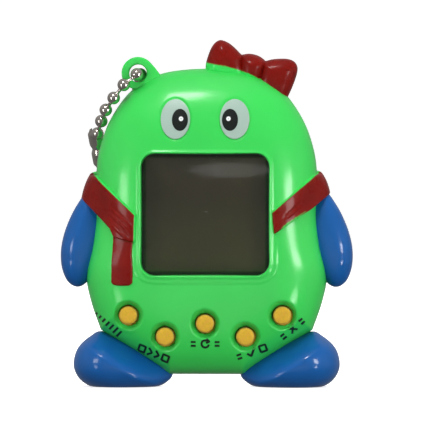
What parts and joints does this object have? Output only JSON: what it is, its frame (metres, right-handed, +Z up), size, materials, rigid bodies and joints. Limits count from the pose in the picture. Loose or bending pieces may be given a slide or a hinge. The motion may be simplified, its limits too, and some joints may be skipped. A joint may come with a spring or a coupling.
{
  "type": "virtual pet keychain",
  "caption": "Standing penguin-shaped electronic toy with a square screen under printed eyes, an arc of round buttons, flippers, feet, a bow and a ball chain through an eyelet.",
  "frame": {"origin": "on the surface that the feet stand on, under the middle of the toy without its chain", "axes": "+Z up, the face looks along -Y, +X is the toy's right as seen from the front"},
  "size_m": [0.0544, 0.019, 0.0642],
  "materials": {
    "green_plastic": "glossy injection-moulded plastic",
    "red_paint": "glossy paint over the green plastic, faded at its edges",
    "blue_plastic": "glossy injection-moulded plastic",
    "yellow_silicone": "matte silicone rubber",
    "eye_print": "pad-printed, satin",
    "dark_ink": "printed ink",
    "clear_window": "clear tinted acrylic",
    "liquid_crystal": "liquid-crystal panel, satin",
    "white_plastic": "moulded",
    "black_epoxy": "moulded or potted",
    "board_green": "solder resist",
    "black_rubber": "matte",
    "steel": "nickel-plated, polished",
    "brass": "bare sheet",
    "ceramic": "fired ceramic, satin",
    "copper_tone": "tinned",
    "red_wire": "PVC insulation"
  },
  "bodies": {
    "case": {"front_shell": "green_plastic", "rear_shell": "green_plastic", "flipper_left": "blue_plastic", "flipper_right": "blue_plastic", "foot_left": "blue_plastic", "foot_right": "blue_plastic", "eye_left": "eye_print", "eye_right": "eye_print", "battery_cell_left": "steel", "battery_cell_right": "steel", "screen_window": "clear_window", "lcd_panel": "liquid_crystal", "lcd_frame": "white_plastic", "lcd_zebra_strip": "black_rubber", "circuit_board": "board_green", "chip_blob": "black_epoxy", "crystal": "steel", "capacitor_1": "copper_tone", "capacitor_2": "copper_tone", "resistor_1": "black_epoxy", "resistor_2": "black_epoxy", "keypad_mat": "yellow_silicone", "buzzer_disc": "brass", "buzzer_ceramic": "ceramic", "buzzer_wire_red": "red_wire", "buzzer_wire_black": "black_rubber", "battery_contact_negative": "steel", "battery_contact_positive": "steel", "battery_wire_black": "black_rubber", "battery_wire_red": "red_wire", "key_chain": "steel", "chain_clasp": "steel", "case_screw_1": "steel", "case_screw_2": "steel", "case_screw_3": "steel", "case_screw_4": "steel", "board_screw_1": "steel", "board_screw_2": "steel", "board_screw_3": "steel"},
    "battery_door": {"battery_door": "green_plastic", "battery_door_screw": "steel", "battery_bridge": "steel"},
    "button_1": {"button_1": "yellow_silicone", "contact_pill_1": "black_rubber"},
    "button_2": {"button_2": "yellow_silicone", "contact_pill_2": "black_rubber"},
    "button_3": {"button_3": "yellow_silicone", "contact_pill_3": "black_rubber"},
    "button_4": {"button_4": "yellow_silicone", "contact_pill_4": "black_rubber"},
    "button_5": {"button_5": "yellow_silicone", "contact_pill_5": "black_rubber"}
  },
  "joints": [
    {"name": "battery_door_slide", "type": "slide", "parent": "case", "child": "battery_door", "axis": [0, 1, 0], "range_m": [0, 0.02]},
    {"name": "button_1_press", "type": "slide", "parent": "case", "child": "button_1", "axis": [0, 1, 0], "range_m": [0, 0.0006], "stiffness_N_per_m": 400, "springref_m": -0.0002},
    {"name": "button_2_press", "type": "slide", "parent": "case", "child": "button_2", "axis": [0, 1, 0], "range_m": [0, 0.0006], "stiffness_N_per_m": 400, "springref_m": -0.0002},
    {"name": "button_3_press", "type": "slide", "parent": "case", "child": "button_3", "axis": [0, 1, 0], "range_m": [0, 0.0006], "stiffness_N_per_m": 400, "springref_m": -0.0002},
    {"name": "button_4_press", "type": "slide", "parent": "case", "child": "button_4", "axis": [0, 1, 0], "range_m": [0, 0.0006], "stiffness_N_per_m": 400, "springref_m": -0.0002},
    {"name": "button_5_press", "type": "slide", "parent": "case", "child": "button_5", "axis": [0, 1, 0], "range_m": [0, 0.0006], "stiffness_N_per_m": 400, "springref_m": -0.0002}
  ]
}
